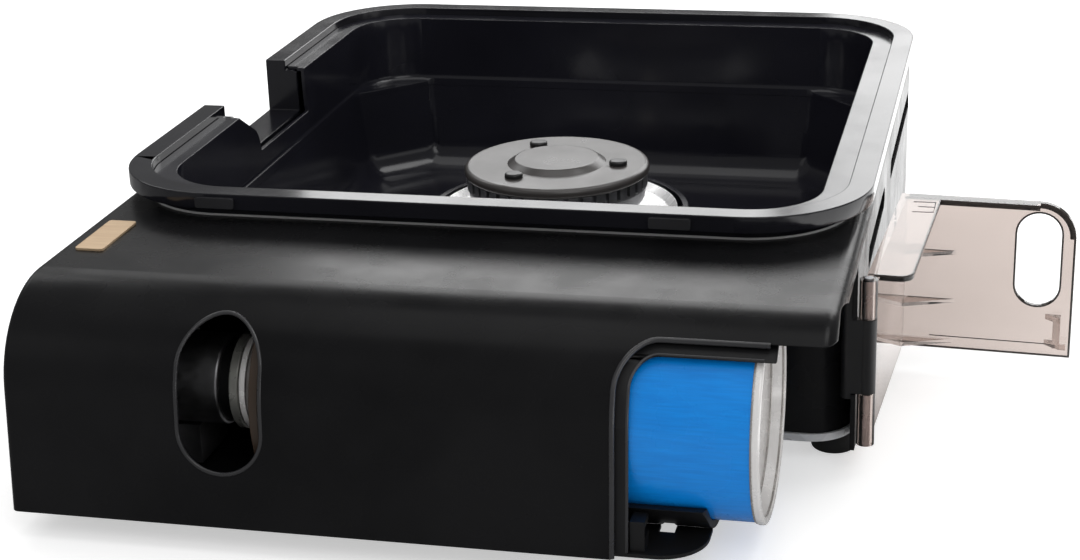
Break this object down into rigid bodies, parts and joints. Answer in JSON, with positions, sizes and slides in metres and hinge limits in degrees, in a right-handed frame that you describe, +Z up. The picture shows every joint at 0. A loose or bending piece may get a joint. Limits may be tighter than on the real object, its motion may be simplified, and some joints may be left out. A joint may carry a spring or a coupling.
{
  "type": "tabletop gas grill",
  "caption": "Flat portable gas stove with a square drip well, round burner, side can bay with a hinged clear door, and a side knob.",
  "frame": {"origin": "under the middle of the whole grill's box, on the surface that its feet stand on", "axes": "+Z up, +X to the side where the gas can goes in, +Y from the can bay to the back"},
  "size_m": [0.3446, 0.376, 0.0903],
  "materials": {
    "black_shell": "satin black paint",
    "black_gloss": "gloss black enamel",
    "black_plastic": "fine matte moulding",
    "clear_smoke": "clear smoke-brown plastic",
    "galvanised": "plain zinc sheet",
    "can_blue": "gloss printed steel",
    "can_steel": "bright tinned steel",
    "can_lacquer": "brown lacquer on tin",
    "dark_cast": "dark heat-proof coating",
    "burner_metal": "cast aluminium",
    "brass": "turned brass",
    "gold_foil": "brushed gold",
    "zinc_cast": "die-cast zinc",
    "magnet": "ground dark magnet",
    "screw_steel": "zinc-plated steel",
    "black_rubber": "soft black rubber",
    "ceramic": "glazed white ceramic",
    "copper": "drawn copper tube",
    "lead_sleeve": "grey heat-proof sleeve",
    "light_steel": "white enamel"
  },
  "bodies": {
    "base": {"badge_plate": "gold_foil", "base_pan": "galvanised", "bay_frame": "black_plastic", "bay_wall": "black_shell", "bracket_screws": "screw_steel", "burner_base": "burner_metal", "burner_bracket": "galvanised", "burner_cap": "dark_cast", "burner_head": "burner_metal", "can_cradle": "black_plastic", "cap_rivets": "dark_cast", "case_screws": "screw_steel", "electrode": "screw_steel", "electrode_ceramic": "ceramic", "foot_screws": "screw_steel", "gas_tube": "copper", "heat_shield": "galvanised", "hinge_pin": "screw_steel", "hinge_post": "black_plastic", "igniter_bracket": "galvanised", "ignition_lead": "lead_sleeve", "injector": "brass", "injector_bracket": "galvanised", "knob_bezel": "gold_foil", "latch_receiver": "black_plastic", "magnet_holder": "black_plastic", "magnet_ring": "magnet", "mixing_tube": "burner_metal", "piezo_igniter": "black_plastic", "port_ring": "burner_metal", "reflector": "light_steel", "regulator_body": "zinc_cast", "regulator_bracket": "galvanised", "regulator_screws": "screw_steel", "rim_clips": "black_gloss", "rim_frame": "black_gloss", "rubber_feet": "black_rubber", "seat_seal": "black_rubber", "top_shell": "black_shell", "tube_nut": "brass"},
    "door": {"door": "clear_smoke", "door_latch": "clear_smoke"},
    "gas_can": {"gas_can_base": "can_steel", "gas_can_body": "can_steel", "gas_can_cup": "can_steel", "gas_can_dome": "can_lacquer", "gas_can_label": "can_blue"},
    "can_stem": {"gas_can_stem": "brass"},
    "knob": {"knob": "black_plastic", "valve_spindle": "screw_steel"},
    "drip_well": {"drip_well": "black_gloss"},
    "plunger": {"igniter_plunger": "black_plastic"}
  },
  "joints": [
    {"name": "door_swing", "type": "hinge", "parent": "base", "child": "door", "pos_m": [0.10546, -0.0955, 0.039], "axis": [0, 0, 1], "range_deg": [-176.5, 0]},
    {"name": "can_slide", "type": "slide", "parent": "base", "child": "gas_can", "axis": [1, 0, 0], "range_m": [0, 0.2]},
    {"name": "stem_push", "type": "slide", "parent": "gas_can", "child": "can_stem", "axis": [1, 0, 0], "range_m": [0, 0.003], "stiffness_N_per_m": 300},
    {"name": "knob_turn", "type": "hinge", "parent": "base", "child": "knob", "pos_m": [-0.16034, -0.1474, 0.0427], "axis": [-1, 0, 0], "range_deg": [0, 115]},
    {"name": "well_lift", "type": "slide", "parent": "base", "child": "drip_well", "axis": [0, 0, 1], "range_m": [0, 0.09]},
    {"name": "plunger_push", "type": "slide", "parent": "base", "child": "plunger", "axis": [0, 1, 0], "range_m": [0, 0.004]}
  ],
  "couplings": [
    {"joint": "plunger_push", "follows": "knob_turn", "m_per_rad": 0.0019929}
  ]
}
